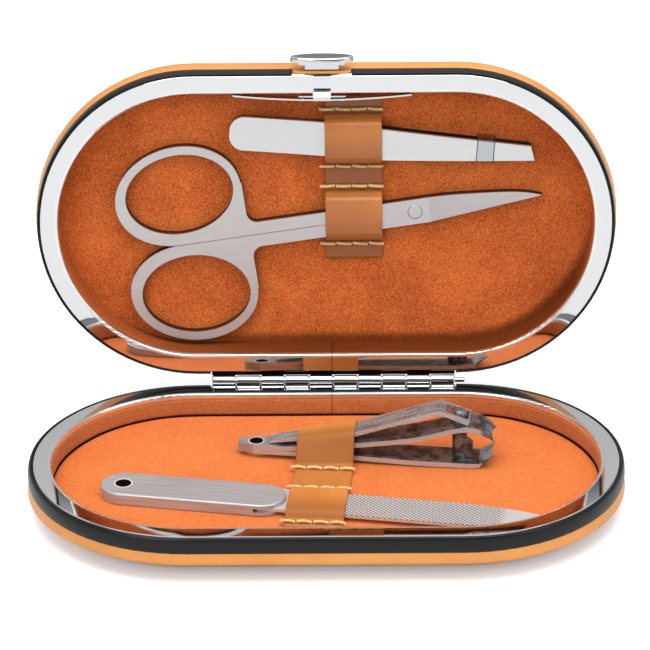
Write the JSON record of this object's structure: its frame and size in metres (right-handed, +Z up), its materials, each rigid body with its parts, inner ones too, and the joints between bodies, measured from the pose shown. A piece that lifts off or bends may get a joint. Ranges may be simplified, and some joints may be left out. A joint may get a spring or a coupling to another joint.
{
  "type": "manicure set case",
  "caption": "Stadium-shaped hinged case with a push-button clasp, holding scissors, tweezers, a nail clipper and a nail file under stitched leather straps.",
  "frame": {"origin": "centre of the lower tray's flat underside", "axes": "+X along the hinge, +Y from the clasp side to the hinge side, +Z up"},
  "size_m": [0.1228, 0.0856, 0.0815],
  "materials": {
    "cover_leather": "smooth satin leather",
    "strap_leather": "smooth satin leather",
    "thread": "twisted thread",
    "suede_lining": "fine suede-like nap",
    "shell_plastic": "moulded, hidden",
    "dark_trim": "smooth black",
    "bright_chrome": "polished plating",
    "tool_steel": "brushed lengthwise",
    "file_steel": "fine diagonal cuts",
    "clear_plastic": "clear"
  },
  "bodies": {
    "lower_tray": {"lower_leather_cover": "cover_leather", "lower_shell": "shell_plastic", "lower_edge_trim": "dark_trim", "lower_rim_frame": "bright_chrome", "lower_lining_wall": "suede_lining", "lower_floor_pad": "suede_lining", "lower_strap": "strap_leather", "lower_strap_stitches": "thread", "lower_hinge_leaf": "bright_chrome", "hinge_pin": "bright_chrome"},
    "lid": {"lid_leather_cover": "cover_leather", "lid_shell": "shell_plastic", "lid_edge_trim": "dark_trim", "lid_rim_frame": "bright_chrome", "lid_lining_wall": "suede_lining", "lid_floor_pad": "suede_lining", "lid_strap": "strap_leather", "lid_strap_stitches": "thread", "lid_hinge_leaf": "bright_chrome"},
    "clasp": {"clasp_button": "bright_chrome", "clasp_catch": "bright_chrome", "clasp_spring": "bright_chrome", "clasp_rivets": "bright_chrome"},
    "scissors": {"scissors_lower_half": "tool_steel", "scissors_screw": "tool_steel"},
    "scissors_upper": {"scissors_upper_half": "tool_steel"},
    "tweezers": {"tweezers_back_arm": "tool_steel", "tweezers_sleeve": "clear_plastic"},
    "tweezers_front": {"tweezers_front_arm": "tool_steel"},
    "clipper": {"clipper_lower_jaw": "tool_steel"},
    "clipper_bite_jaw": {"clipper_upper_jaw": "tool_steel"},
    "clipper_lever_group": {"clipper_lever": "tool_steel", "clipper_post": "tool_steel", "clipper_cross_pin": "tool_steel"},
    "nail_file": {"file_handle": "tool_steel", "file_blade": "file_steel"}
  },
  "joints": [
    {"name": "lid_hinge", "type": "hinge", "parent": "lower_tray", "child": "lid", "pos_m": [0, 0.03485, 0.01055], "axis": [1, 0, 0], "range_deg": [0, 96.2]},
    {"name": "clasp_press", "type": "slide", "parent": "lid", "child": "clasp", "axis": [0, -0.108, -0.9942], "range_m": [0, 0.0012], "stiffness_N_per_m": 2500, "springref_m": -0.0005, "deforming": ["clasp_spring"]},
    {"name": "scissors_slide", "type": "slide", "parent": "lid", "child": "scissors", "axis": [0.9898, 0.0154, 0.1418], "range_m": [-0.0025, 0]},
    {"name": "scissors_open", "type": "hinge", "parent": "scissors", "child": "scissors_upper", "pos_m": [0.0188, 0.04647, 0.04545], "axis": [0, 0.9942, -0.108], "range_deg": [0, 2]},
    {"name": "tweezers_slide", "type": "slide", "parent": "lid", "child": "tweezers", "axis": [0.9972, -0.0081, -0.0745], "range_m": [0, 0.008]},
    {"name": "tweezers_squeeze", "type": "hinge", "parent": "tweezers", "child": "tweezers_front", "pos_m": [-0.00813, 0.04634, 0.06256], "axis": [0.075, 0.1077, 0.9914], "range_deg": [0, 1.1], "stiffness_Nm_per_rad": 1},
    {"name": "clipper_slide", "type": "slide", "parent": "lower_tray", "child": "clipper", "axis": [0.9959, -0.0906, 0], "range_m": [0, 0.012]},
    {"name": "clipper_bite", "type": "hinge", "parent": "clipper", "child": "clipper_bite_jaw", "pos_m": [-0.00864, 0.0112, 0.00742], "axis": [0.0906, 0.9959, 0], "range_deg": [0, 2.5], "stiffness_Nm_per_rad": 5},
    {"name": "clipper_lever_swivel", "type": "hinge", "parent": "clipper", "child": "clipper_lever_group", "pos_m": [0.02761, 0.0079, 0.00562], "axis": [0, 0, 1], "range_deg": [-1, 1]},
    {"name": "file_slide", "type": "slide", "parent": "lower_tray", "child": "nail_file", "axis": [0.9839, -0.1788, 0], "range_m": [-0.008, 0]}
  ]
}
